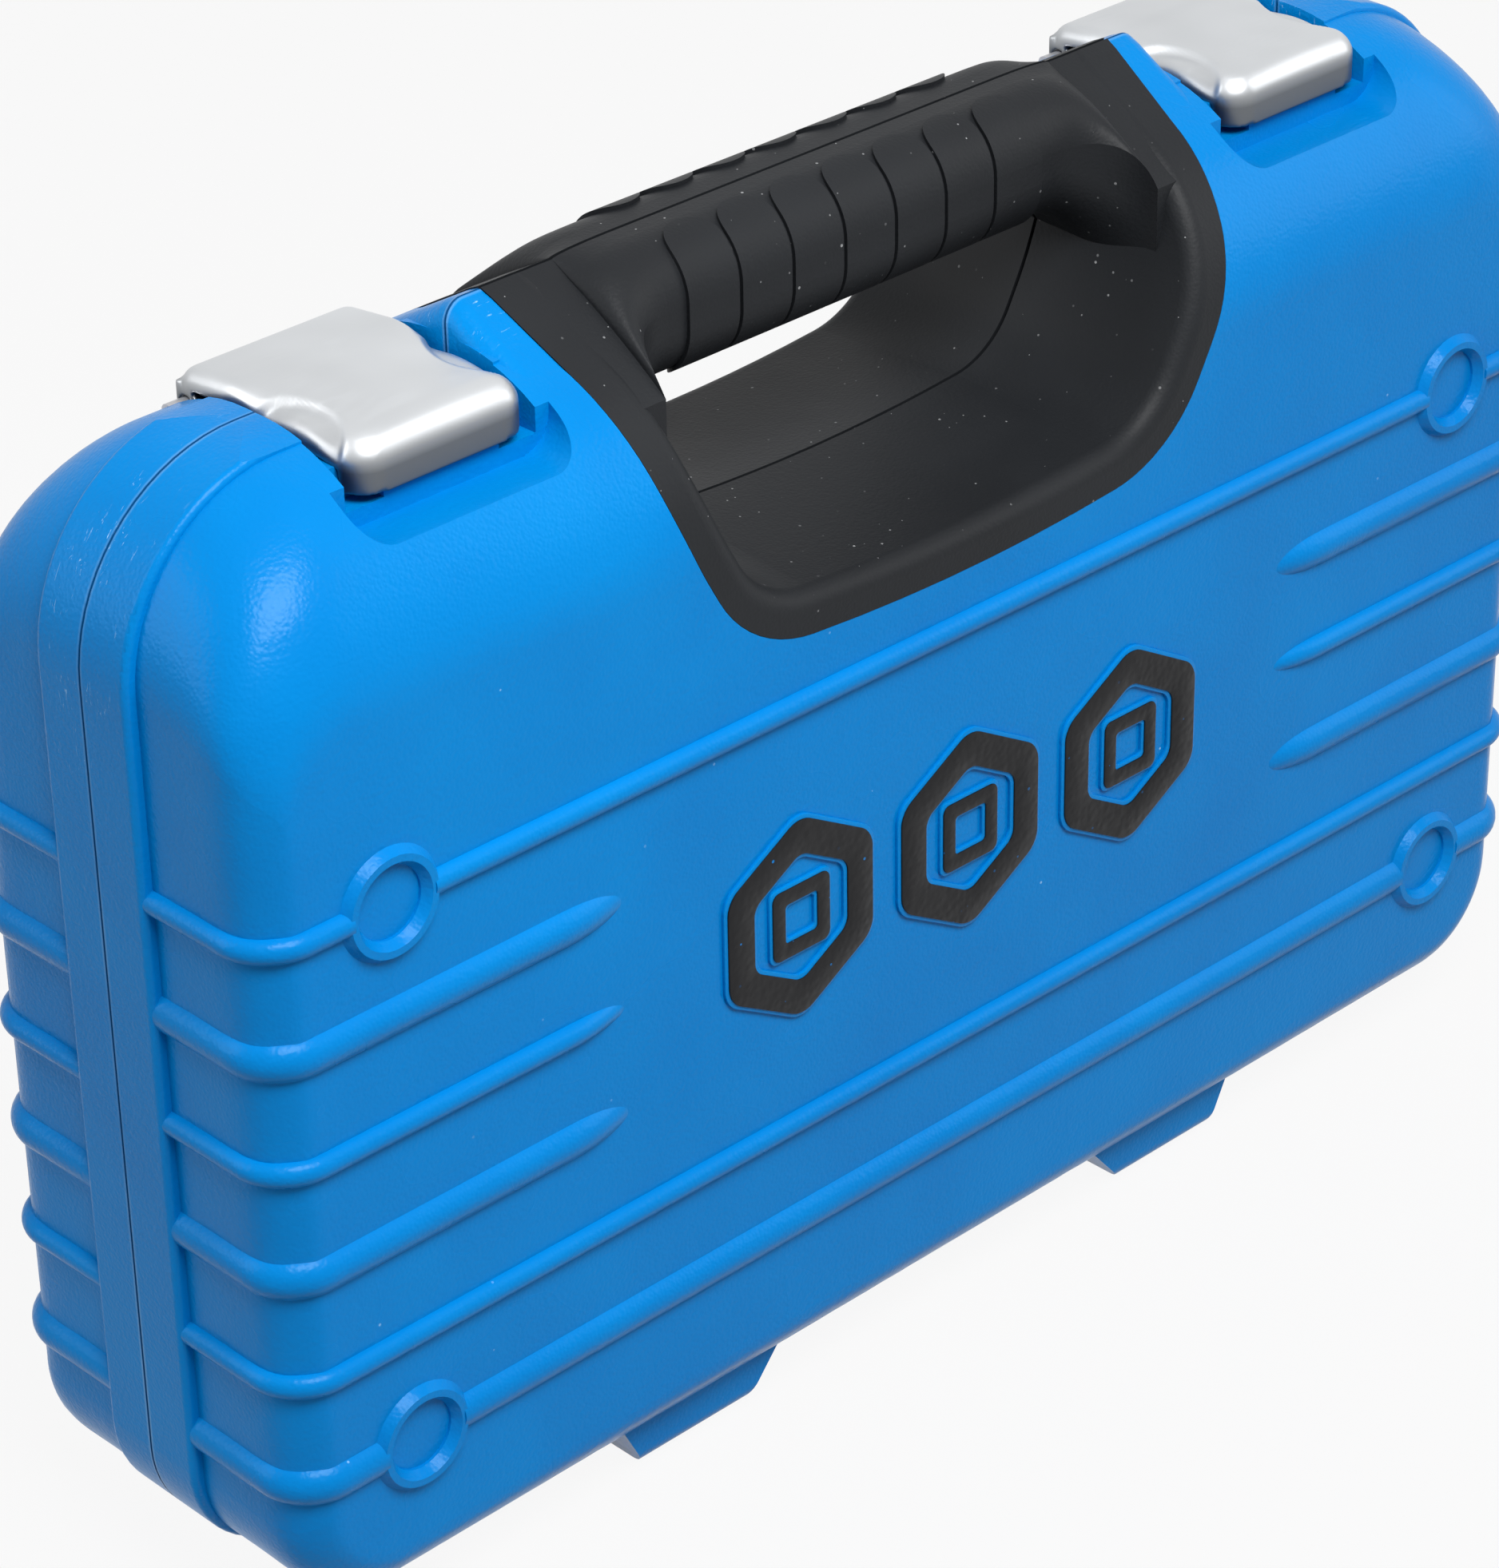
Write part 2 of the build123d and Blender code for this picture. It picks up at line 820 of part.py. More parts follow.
def extension(length):
    """Extension bar along X: square drive at its left, head with a square hole at its right."""
    half = polygon(
        (0, 0),
        (extension_head, 0),
        (extension_head, extension_head_length),
        (extension_radius, extension_head_length + extension_taper),
        (extension_radius, length - drive_length - 2 * collar_length),
        (extension_collar, length - drive_length - collar_length),
        (extension_collar, length - drive_length),
        (0, length - drive_length),
    )
    body = revolve(Plane.XZ * half, Axis.Z)
    body -= drive_hole(drive_length)
    tip = extrude(Rectangle(drive, drive), drive_length)
    tip = chamfer(tip.faces().sort_by(Axis.Z)[-1].edges(), drive_chamfer)
    body += Pos(0, 0, length - drive_length) * tip
    return Pos(length, 0, 0) * Rot(0, -90, 0) * body


def spark_insert():
    bore = spark_size / 2 - part_gap
    sleeve = rod_z(bore, 0, insert_length) - rod_z(bore - insert_wall, -1, insert_length + 1)
    return Pos(0, 0, spark_length - spark_bore + 1) * sleeve


def pear(inset, neck):
    """Outline of the ratchet head: a disc drawn out to the neck."""
    big = Circle(head_radius - inset).edge()
    small = (Pos(neck, 0) * Circle(neck_radius - inset)).edge()
    return make_hull([big, small])


def ratchet_body():
    front = -head_thickness / 2
    back = head_thickness / 2
    body = prism_y(pear(0, neck_reach), front, back)
    body = chamfer(body.faces().sort_by(Axis.Y)[-1].edges(), head_chamfer)
    shaft = polygon(
        (neck_reach - neck_overlap, 0),
        (neck_reach - neck_overlap, neck_radius),
        (sleeve_start - shaft_taper, shaft_radius + shaft_swell),
        (sleeve_start, shaft_radius),
        (shaft_end, shaft_radius),
        (shaft_end, 0),
    )
    body += revolve(Plane.XZ * shaft, Axis.X)
    body -= prism_y(pear(cover_border, lever_pivot + lever_disc), front - 1, front + cover_thickness)
    body -= rod_y(gear_radius + part_gap, front, gear_seat)
    room = pawl_half + pawl_room
    tail = lever_pivot + pawl_tail + pawl_room
    body -= block(hub_radius, tail, front, gear_seat - pawl_lift, -room, room)
    return body - rod_y(hub_radius + running_gap, front, back + 1)


def ratchet_cover():
    front = -head_thickness / 2
    outline = pear(cover_border + seat_gap, lever_pivot + lever_disc)
    plate = prism_y(outline, front, front + cover_thickness)
    plate -= rod_y(button_radius + part_gap, front - 1, front + cover_thickness + 1)
    return plate - rod_y(lever_stem + running_gap, front - 1, 0, lever_pivot, 0)


def ratchet_gear():
    """Toothed wheel, hub and square drive in one piece, bored for the release button."""
    front = -head_thickness / 2 + cover_thickness + part_gap
    back = head_thickness / 2 + drive_shoulder
    points = []
    for i in range(gear_teeth):
        for step, radius in ((0.0, gear_radius), (0.5, gear_radius - tooth_depth)):
            turn = 2 * math.pi * (i + step) / gear_teeth
            points.append((radius * math.cos(turn), radius * math.sin(turn)))
    gear = prism_y(polygon(*points), front, gear_seat - part_gap)
    gear += rod_y(hub_radius, gear_seat - part_gap - 1, back)
    square = prism_y(Rectangle(drive, drive), back - 1, back + drive_length)
    gear += chamfer(square.faces().sort_by(Axis.Y)[-1].edges(), drive_chamfer)
    recess = button_travel + part_gap
    gear -= rod_y(button_radius + part_gap, front - 1, front + recess)
    return gear - rod_y(button_stem + running_gap, front - 1, back + drive_length / 2)


def release_button():
    front = -head_thickness / 2 + cover_thickness + part_gap
    cap = rod_y(button_radius, front - cover_thickness - button_rise, front)
    cap = fillet(cap.faces().sort_by(Axis.Y)[0].edges(), button_round)
    tip = (head_thickness + drive_length) / 2 - button_travel - 1
    return cap + rod_y(button_stem, front - 1, tip)


def about_lever(part):
    """Swing a piece of the reverser from its middle to the way it rests."""
    return Pos(lever_pivot, 0, 0) * Rot(0, lever_swing / 2, 0) * Pos(-lever_pivot, 0, 0) * part


def reversing_lever():
    front = -head_thickness / 2 - part_gap
    face = front - lever_thickness
    tab = polygon(
        (lever_pivot, -lever_root),
        (lever_pivot + lever_reach, -lever_tip),
        (lever_pivot + lever_reach, lever_tip),
        (lever_pivot, lever_root),
    )
    tab = fillet(tab.vertices().sort_by(Axis.X)[-2:], lever_round)
    lever = rod_y(lever_disc, face, front, lever_pivot, 0) + prism_y(tab, face, front)
    lever += rod_y(lever_stem, front - 1, gear_seat - 2 * pawl_lift, lever_pivot, 0)
    return about_lever(lever)


def ratchet_pawl():
    """Rocking pawl on the lever's stem, hollowed to ride clear of the wheel."""
    front = -head_thickness / 2 + cover_thickness + part_gap
    inner = gear_radius + pawl_clearance
    back = gear_seat - pawl_lift - part_gap
    pawl = block(inner - 2 * tooth_depth, lever_pivot + pawl_tail, front, back, -pawl_half, pawl_half)
    pawl -= rod_y(inner, front - 1, gear_seat)
    pawl -= rod_y(lever_stem, front - 1, gear_seat, lever_pivot, 0)
    return about_lever(pawl)


def ratchet_grip():
    half = polygon(
        (sleeve_start, shaft_radius),
        (sleeve_start, shaft_radius + sleeve_lip),
        (sleeve_start + sleeve_round, sleeve_radius - sleeve_waist / 2),
        (sleeve_start + sleeve_waist_at, sleeve_radius - sleeve_waist),
        (sleeve_end - sleeve_swell_at, sleeve_radius),
        (sleeve_end - sleeve_round, sleeve_radius - sleeve_waist / 3),
        (sleeve_end, sleeve_radius - 2 * sleeve_lip),
        (sleeve_end, 0),
        (shaft_end, 0),
        (shaft_end, shaft_radius),
    )
    return revolve(Plane.XZ * half, Axis.X)


def in_tray(part):
    return Pos(ratchet_x, ratchet_y, ratchet_z) * part


def spark_place():
    return tray_half - spark_length - end_play, large_row


def trough(radius, a, b, place, along, grow):
    """Half-round pocket for a round tool, open to the lid; grow gives its outside."""
    r = radius + tool_play + grow
    y = tool_axis - tool_play
    low, high = a - end_play - grow, b + end_play + grow
    if along == "z":
        return rod_z(r, low, high, place, y) + block(place - r, place + r, 0, y, low, high)
    return rod_x(r, low, high, y, place) + block(low, high, 0, y, place - r, place + r)


def tool_pockets(grow):
    pockets = []
    for size, x, z in socket_places():
        pockets.append(trough(socket_radius(size), z, z + socket_length, x, "z", grow))
    long_span = (extension_left, extension_left + long_extension)
    for (left, right), row in ((long_span, extension_row), (short_span(), small_row)):
        neck = right - extension_head_length - extension_head / 2
        pockets.append(trough(extension_collar, left, right, row, "x", grow))
        pockets.append(trough(extension_head, neck, right, row, "x", grow))
    x, z = spark_place()
    pockets.append(trough(socket_radius(spark_size), x, x + spark_length, z, "x", grow))
    deep = ratchet_y + head_thickness / 2 + grow
    head = Pos(ratchet_x, ratchet_z) * pear(-end_play - grow, neck_reach)
    pockets.append(prism_y(head, 0, deep))
    well = hub_radius + tool_play + grow
    pockets.append(rod_y(well, 0, deep + drive_length + end_play, ratchet_x, ratchet_z))
    r = sleeve_radius + tool_play + grow
    start, stop = ratchet_x, ratchet_x + sleeve_end + end_play + grow
    pockets.append(rod_x(r, start, stop, ratchet_y - tool_play, ratchet_z))
    return pockets


def short_span():
    right = tray_half - end_play
    return right - short_extension, right


def tool_tray():
    """Inner skin of the base: plate, skirt to the back wall and a pocket per tool."""
    fit = to_base(half_inside(wall + part_gap))
    shape = fit & block(-flange_half, flange_half, tray_set, tray_set + skin, 0, ridge_top)
    low = body_low + wall + tray_border
    high = handle_low - handle_bow - wall - seat_gap - skin
    panel = rounded_panel(tray_half, low, high, edge_round, edge_round)
    skirt = prism_y(panel, tray_set, half_depth - wall)
    skirt -= prism_y(offset(panel, -skin), 0, half_depth)
    shape += skirt
    bounds = block(-tray_half, tray_half, tray_set, half_depth - wall, low, high)
    for pocket in tool_pockets(skin):
        shape += pocket & bounds
    for pocket in tool_pockets(0.0):
        shape -= pocket
    return shape


def case_nodes():
    half = half_shell()
    handle = handle_half()
    clip = latch()
    pivot = latch_pin()
    pin = hinge_pin()
    return {
        "lid_shell": lid_shell(half),
        "lid_liner": lid_liner(),
        "handle_front": handle,
        "base_shell": base_shell(half),
        "tool_tray": tool_tray(),
        "handle_back": to_base(handle),
        "hinge_pin_left": other_side(pin),
        "hinge_pin_right": pin,
        "latch_left": other_side(clip),
        "latch_right": clip,
        "latch_pin_left": other_side(pivot),
        "latch_pin_right": pivot,
    }


def tool_nodes():
    nodes = {
        "ratchet_body": in_tray(ratchet_body()),
        "ratchet_cover": in_tray(ratchet_cover()),
        "ratchet_grip": in_tray(ratchet_grip()),
        "ratchet_gear": in_tray(ratchet_gear()),
        "ratchet_pawl": in_tray(ratchet_pawl()),
        "reversing_lever": in_tray(reversing_lever()),
        "release_button": in_tray(release_button()),
        "extension_long": Pos(extension_left, tool_axis, extension_row) * extension(long_extension),
        "extension_short": Pos(short_span()[0], tool_axis, small_row) * extension(short_extension),
    }
    x, z = spark_place()
    lay = Pos(x, tool_axis, z) * Rot(0, 90, 0)
    nodes["spark_plug_socket"] = lay * socket(spark_size, spark_length, spark_bore)
    nodes["spark_plug_insert"] = lay * spark_insert()
    for size, x, z in socket_places():
        nodes[f"socket_{size}"] = Pos(x, tool_axis, z) * socket(size, socket_length, nut_depth)
    return nodes


def main():
    os.makedirs("parts", exist_ok=True)
    nodes = case_nodes()
    nodes.update(tool_nodes())
    for name, part in nodes.items():
        solids = part.solids()
        export_step(solids[0] if len(solids) == 1 else part, f"parts/{name}.step")
        print(name, len(solids), round(part.volume))


main()
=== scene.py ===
# %% [markdown]
# A socket wrench set in its moulded case, closed and standing on its feet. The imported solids
# come in first as a fixed frame, in metres: the case halves, the handle, the latches and the
# tools inside are all there already. What follows gives them finishes and adds small pieces,
# and every piece rides on one of the frame's bodies, so that it moves when the case opens.
# %% Load the frame
import bpy
import json
import math
from mathutils import Matrix, Vector


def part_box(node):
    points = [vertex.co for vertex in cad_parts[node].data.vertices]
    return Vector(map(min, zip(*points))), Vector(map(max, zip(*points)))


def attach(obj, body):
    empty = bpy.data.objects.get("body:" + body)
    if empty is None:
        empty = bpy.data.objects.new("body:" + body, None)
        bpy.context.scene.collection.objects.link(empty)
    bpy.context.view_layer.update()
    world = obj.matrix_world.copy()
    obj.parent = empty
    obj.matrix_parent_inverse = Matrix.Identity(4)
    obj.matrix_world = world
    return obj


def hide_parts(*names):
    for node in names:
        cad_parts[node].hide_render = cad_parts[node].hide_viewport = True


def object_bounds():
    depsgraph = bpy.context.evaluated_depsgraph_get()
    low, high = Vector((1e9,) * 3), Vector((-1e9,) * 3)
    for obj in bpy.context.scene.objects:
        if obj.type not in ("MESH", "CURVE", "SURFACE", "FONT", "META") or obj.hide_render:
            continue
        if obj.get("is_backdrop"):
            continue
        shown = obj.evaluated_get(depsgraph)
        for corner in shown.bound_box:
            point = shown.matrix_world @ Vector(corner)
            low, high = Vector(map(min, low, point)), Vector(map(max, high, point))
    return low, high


MM = 0.001

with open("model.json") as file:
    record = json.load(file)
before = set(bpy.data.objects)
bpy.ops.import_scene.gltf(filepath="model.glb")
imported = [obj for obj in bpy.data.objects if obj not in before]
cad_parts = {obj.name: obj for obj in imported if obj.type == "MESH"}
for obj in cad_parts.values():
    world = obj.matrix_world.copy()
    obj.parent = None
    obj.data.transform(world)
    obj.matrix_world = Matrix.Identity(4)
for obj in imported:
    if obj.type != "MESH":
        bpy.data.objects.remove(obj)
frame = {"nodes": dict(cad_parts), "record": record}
nodes = frame["nodes"]
slot_of = {part["node"]: part["material_slot"] for part in frame["record"]["subparts"]}
cad_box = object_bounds()

# %% [markdown]
# The camera stands where the photographer stood, front left of the case and a little above it.
# Place, direction and lens come from matching the ribs, rings and latches. A camera can be
# turned by hand until it looks right, but three turns written out, about the upright, the tilt
# and the roll, can be read and corrected one at a time.
# %% Camera
CAMERA_PLACE = (-0.60897, -0.62034, 0.60585)
CAMERA_AZIMUTH = -43.60
CAMERA_ELEVATION = 29.80
CAMERA_ROLL = -1.06
LENS = 115.2
FRAME_SHIFT = -0.0056


def add_camera():
    data = bpy.data.cameras.new("camera")
    data.lens = LENS
    data.sensor_width = 36.0
    data.shift_y = FRAME_SHIFT
    camera = bpy.data.objects.new("camera", data)
    bpy.context.scene.collection.objects.link(camera)
    turn = Matrix.Rotation(math.radians(CAMERA_AZIMUTH), 4, "Z")
    tilt = Matrix.Rotation(math.radians(90 - CAMERA_ELEVATION), 4, "X")
    roll = Matrix.Rotation(math.radians(CAMERA_ROLL), 4, "Z")
    camera.matrix_world = Matrix.Translation(CAMERA_PLACE) @ turn @ tilt @ roll
    bpy.context.scene.camera = camera
    return camera


camera = add_camera()
print("camera lens:", camera.data.lens, "mm")

# %% [markdown]
# Product photographs of such cases are lit by large soft boxes. One hangs above and in front,
# so that the front darkens towards its foot and the shoulders glint. A second stands far to
# the right and a third behind on the left, which leaves the rounded front corner between them
# dark, as in the photograph. Large lamps give long soft glints; small ones would give spots.
# %% Lamps
# name: (place, size, power)
LAMPS = {
    "top_box": ((-0.22, -0.55, 0.95), (0.6, 0.4), 13.5),
    "right_box": ((1.50, -1.10, 0.90), (1.0, 1.2), 8),
    "left_box": ((-1.40, 0.80, 0.80), (0.8, 1.2), 8),
}
LAMP_TARGET = Vector((0, 0, 0.12))


def add_lamp(name, place, size, power):
    data = bpy.data.lights.new(name, "AREA")
    data.shape = "RECTANGLE"
    data.size, data.size_y = size
    data.energy = power
    lamp = bpy.data.objects.new(name, data)
    lamp.location = place
    lamp.rotation_euler = (LAMP_TARGET - Vector(place)).to_track_quat("-Z", "Y").to_euler()
    bpy.context.scene.collection.objects.link(lamp)


for name, (place, size, power) in LAMPS.items():
    add_lamp(name, place, size, power)
bpy.context.scene.view_settings.view_transform = "Standard"
print("lamps:", list(LAMPS))

# %% [markdown]
# The background is plain white. The world looks white to the camera and in mirror-like
# finishes, but lights the case with less than that, and only from above the floor, or its blue
# would wash out. A Light Path node tells the rays apart. To the same rays the pale floor is
# nearly clear, so the white shows through, and so does the lid when it hangs down open; lamp
# light passes too and falls on that lid. The share that stays matt keeps the shadow. Small
# helpers add nodes and join them, and all materials below use them too.
# %% White surroundings
WORLD_LIGHT = 0.25
FLOOR_SHADOW = 0.08
FLOOR_SIZE = 8
FLOOR_DROP = 0.4 * MM
FLOOR_GREY = (0.32, 0.32, 0.32, 1)


def add_node(tree, kind, settings=None, **values):
    node = tree.nodes.new("ShaderNode" + kind)
    for key, value in (settings or {}).items():
        setattr(node, key, value)
    for key, value in values.items():
        node.inputs[key.replace("_", " ")].default_value = value
    return node


def calculate(tree, operation, first, second):
    node = add_node(tree, "Math", {"operation": operation})
    for socket, value in zip(node.inputs, (first, second)):
        if isinstance(value, (int, float)):
            socket.default_value = value
        else:
            tree.links.new(value, socket)
    return node.outputs[0]


def seen_directly(tree):
    path = add_node(tree, "LightPath").outputs
    mirrored = calculate(tree, "MAXIMUM", path["Is Glossy Ray"], path["Is Transmission Ray"])
    return calculate(tree, "MAXIMUM", path["Is Camera Ray"], mirrored)


def white_when_seen(tree, seen, lit, white, output):
    mix = add_node(tree, "MixShader")
    tree.links.new(seen, mix.inputs[0])
    tree.links.new(lit.outputs[0], mix.inputs[1])
    tree.links.new(white.outputs[0], mix.inputs[2])
    tree.links.new(mix.outputs[0], output.inputs["Surface"])


world = bpy.data.worlds.new("studio")
bpy.context.scene.world = world
world.use_nodes = True
sky = world.node_tree
soft_light = sky.nodes["Background"]
soft_light.inputs["Color"].default_value = (1, 1, 1, 1)
toward = add_node(sky, "SeparateXYZ")
sky.links.new(add_node(sky, "TexCoord").outputs["Generated"], toward.inputs[0])
above = calculate(sky, "GREATER_THAN", toward.outputs["Z"], 0.0)
sky.links.new(calculate(sky, "MULTIPLY", above, WORLD_LIGHT), soft_light.inputs["Strength"])
white_sky = add_node(sky, "Background", Strength=1.0, Color=(1, 1, 1, 1))
white_when_seen(sky, seen_directly(sky), soft_light, white_sky, sky.nodes["World Output"])

bpy.ops.object.select_all(action="DESELECT")
bpy.ops.mesh.primitive_plane_add(size=FLOOR_SIZE, location=(0, 0, -FLOOR_DROP))
floor = bpy.context.object
floor.name = "floor"
paper = bpy.data.materials.new("floor_paper")
paper.use_nodes = True
floor.data.materials.append(paper)
sheet = paper.node_tree
matt = sheet.nodes["Principled BSDF"]
matt.inputs["Base Color"].default_value = FLOOR_GREY
matt.inputs["Roughness"].default_value = 0.9
clear = add_node(sheet, "BsdfTransparent")
let_by = add_node(sheet, "LightPath").outputs["Is Shadow Ray"]
passes = calculate(sheet, "MAXIMUM", seen_directly(sheet), let_by)
mostly = calculate(sheet, "MULTIPLY", passes, 1 - FLOOR_SHADOW)
white_when_seen(sheet, mostly, matt, clear, sheet.nodes["Material Output"])
floor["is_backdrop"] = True
print("floor and sky are white to the camera, light level", WORLD_LIGHT)

# %% [markdown]
# Moulded plastic is never quite smooth: the mould is etched with a fine pebble grain, and the
# colour shifts a little where the wall is thicker. Grain like this could be painted, but two
# noise patterns in a node group can be put into every material with its own scale. The group
# gives a height for a Bump node, and a slow tone that tints the colour and the gloss.
# %% Grain group
FINE_TO_PEBBLE = 0.45
TONE_RANGE = (0.3, 0.7)


def new_group(name, inputs, outputs):
    group = bpy.data.node_groups.new(name, "ShaderNodeTree")
    for label, kind in inputs:
        group.interface.new_socket(label, in_out="INPUT", socket_type="NodeSocket" + kind)
    for label in outputs:
        group.interface.new_socket(label, in_out="OUTPUT", socket_type="NodeSocketFloat")
    given = group.nodes.new("NodeGroupInput").outputs
    result = group.nodes.new("NodeGroupOutput").inputs
    return group, given, result


def remap(tree, value, start, end, low=0.0, high=1.0):
    node = add_node(tree, "MapRange", From_Min=start, From_Max=end, To_Min=low, To_Max=high)
    tree.links.new(value, node.inputs["Value"])
    return node.outputs[0]


def grain_group():
    group, given, result = new_group(
        "moulded_grain", [("Position", "Vector"), ("Pitch", "Float")], ["Height", "Tone"]
    )
    pebbles = add_node(group, "TexVoronoi", {"feature": "SMOOTH_F1"}, Smoothness=0.7)
    fine = add_node(group, "TexNoise", Detail=2.0)
    slow = add_node(group, "TexNoise", Scale=16.0, Detail=3.0, Roughness=0.6)
    for texture in (pebbles, fine, slow):
        group.links.new(given["Position"], texture.inputs["Vector"])
    group.links.new(given["Pitch"], pebbles.inputs["Scale"])
    fine_pitch = calculate(group, "MULTIPLY", given["Pitch"], FINE_TO_PEBBLE)
    group.links.new(fine_pitch, fine.inputs["Scale"])
    height = calculate(group, "SUBTRACT", fine.outputs[0], pebbles.outputs["Distance"])
    group.links.new(height, result["Height"])
    group.links.new(remap(group, slow.outputs[0], *TONE_RANGE), result["Tone"])
    return group


GRAIN = grain_group()
print("group:", GRAIN.name)

# %% [markdown]
# A case from a shelf carries dust: pale specks of a fraction of a millimetre, most of all on
# the black handle. Each cell of a Voronoi pattern has one point, so cutting its distance off
# close to the point leaves a round speck, and a random number per cell keeps only some.
# %% Dust group
DUST_KEPT_ABOVE = 0.55


def dust_group():
    group, given, result = new_group(
        "dust_specks", [("Position", "Vector"), ("Pitch", "Float"), ("Size", "Float")], ["Mask"]
    )
    cells = add_node(group, "TexVoronoi")
    group.links.new(given["Position"], cells.inputs["Vector"])
    group.links.new(given["Pitch"], cells.inputs["Scale"])
    chance = add_node(group, "SeparateColor")
    group.links.new(cells.outputs["Color"], chance.inputs[0])
    kept = calculate(group, "GREATER_THAN", chance.outputs["Red"], DUST_KEPT_ABOVE)
    size = calculate(group, "MULTIPLY", given["Size"], chance.outputs["Green"])
    speck = calculate(group, "LESS_THAN", cells.outputs["Distance"], size)
    faint = calculate(group, "MULTIPLY", speck, chance.outputs["Blue"])
    group.links.new(calculate(group, "MULTIPLY", faint, kept), result["Mask"])
    return group


DUST = dust_group()
print("group:", DUST.name)

# %% [markdown]
# Where the two halves of the case meet and where the latches rub, the plastic is scraped to
# whitish flecks. Noise drawn out along one direction gives streaks, a second noise breaks
# them into short runs, and the material decides where on the case they may show.
# %% Scrape group
STREAK_STRETCH = (0.5, 2.4, 0.6)
FLECK_EDGE = 0.05
RUN_RANGE = (0.50, 0.60)


def scrape_group():
    group, given, result = new_group(
        "scrape_flecks", [("Position", "Vector"), ("Pitch", "Float"), ("Amount", "Float")], ["Mask"]
    )
    drawn = add_node(group, "VectorMath", {"operation": "MULTIPLY"})
    drawn.inputs[1].default_value = STREAK_STRETCH
    group.links.new(given["Position"], drawn.inputs[0])
    streaks = add_node(group, "TexNoise", Detail=4.0, Roughness=0.7, Distortion=1.2)
    runs = add_node(group, "TexNoise", Detail=1.0, Scale=70.0)
    group.links.new(drawn.outputs[0], streaks.inputs["Vector"])
    group.links.new(given["Position"], runs.inputs["Vector"])
    group.links.new(given["Pitch"], streaks.inputs["Scale"])
    level = calculate(group, "SUBTRACT", streaks.outputs[0], given["Amount"])
    thin = remap(group, level, 0.0, FLECK_EDGE)
    broken = remap(group, runs.outputs[0], *RUN_RANGE)
    group.links.new(calculate(group, "MULTIPLY", thin, broken), result["Mask"])
    return group


SCRAPES = scrape_group()
print("group:", SCRAPES.name)

# %% [markdown]
# Each finish starts from the same few nodes: the place on the object, the Principled shader
# and the groups. The place is read as Object coordinates, because every piece sits unmoved
# at the origin, so one pattern runs on over neighbouring pieces. Numbers that are the same
# all over go straight onto the shader's sockets.
# %% Material helpers
def new_finish(name, metallic=0.0, specular=0.5):
    made = bpy.data.materials.new(name)
    made.use_nodes = True
    tree = made.node_tree
    shader = tree.nodes["Principled BSDF"]
    shader.inputs["Metallic"].default_value = metallic
    shader.inputs["Specular IOR Level"].default_value = specular
    position = add_node(tree, "TexCoord").outputs["Object"]
    return made, tree, shader.inputs, position


def put_group(tree, group, position, **values):
    node = tree.nodes.new("ShaderNodeGroup")
    node.node_tree = group
    tree.links.new(position, node.inputs["Position"])
    for key, value in values.items():
        node.inputs[key].default_value = value
    return node.outputs


def tint(tree, factor, first, second):
    node = add_node(tree, "Mix", {"data_type": "RGBA"})
    tree.links.new(factor, node.inputs[0])
    for socket, value in ((node.inputs[6], first), (node.inputs[7], second)):
        if isinstance(value, tuple):
            socket.default_value = (*value, 1)
        else:
            tree.links.new(value, socket)
    return node.outputs[2]


def bump(tree, shader, height, strength, depth):
    node = add_node(tree, "Bump", Strength=strength, Distance=depth)
    tree.links.new(height, node.inputs["Height"])
    tree.links.new(node.outputs[0], shader["Normal"])


print("helpers ready")

# %% [markdown]
# The case is blow-moulded in a strong azure plastic with a satin face. Its colour drifts
# slightly, its grain catches the light on the rounded shoulders, and pale scrape flecks sit
# along the seam over the top. A thin pale line at the seam's edge is partly wear and partly
# painted highlight, and the gap between the halves is a thin line of painted shadow. These
# places are given as bands in the object's own coordinates, so no picture has to be painted.
# %% Blue case plastic
AZURE_DEEP = (0.0, 0.166, 0.485)
AZURE_LIGHT = (0.0, 0.196, 0.540)
# Pale colour of scrapes, dust specks and the seam's edge line; on that line it is partly painted
# highlight.
AZURE_WEAR_AND_HIGHLIGHT = (0.36, 0.60, 0.82)
AZURE_GLINT = (0.70, 0.90, 1.0, 1)
AZURE_SHADE = (0.0, 0.075, 0.240)
AZURE_GLOSS = (0.22, 0.32)
SEAM_REACH = (12 * MM, 1.2 * MM)
# Width of the pale line at the seam's edge: partly wear, partly painted highlight.
SEAM_EDGE = (0.9 * MM, 0.45 * MM)
# Width of the painted shadow in the gap between the halves.
SEAM_GAP_SHADOW = (0.45 * MM, 0.18 * MM)
SCRAPE_HEIGHT = (150 * MM, 210 * MM)
EDGE_WEAR_AND_HIGHLIGHT_SHARE = 0.28
DUST_SHARE = 0.6


def seam_zone(tree, position):
    """Three masks: a broad band high up along the seam, a pale line at its edge that is partly wear
    and partly painted highlight, and the painted shadow in its gap.
    """
    place = add_node(tree, "SeparateXYZ")
    tree.links.new(position, place.inputs[0])
    off_seam = calculate(tree, "ABSOLUTE", place.outputs["Y"], 0.0)
    beside = remap(tree, off_seam, *SEAM_REACH)
    high = remap(tree, place.outputs["Z"], *SCRAPE_HEIGHT)
    edge = remap(tree, off_seam, *SEAM_EDGE)
    gap_shadow = remap(tree, off_seam, *SEAM_GAP_SHADOW)
    return calculate(tree, "MULTIPLY", beside, high), edge, gap_shadow


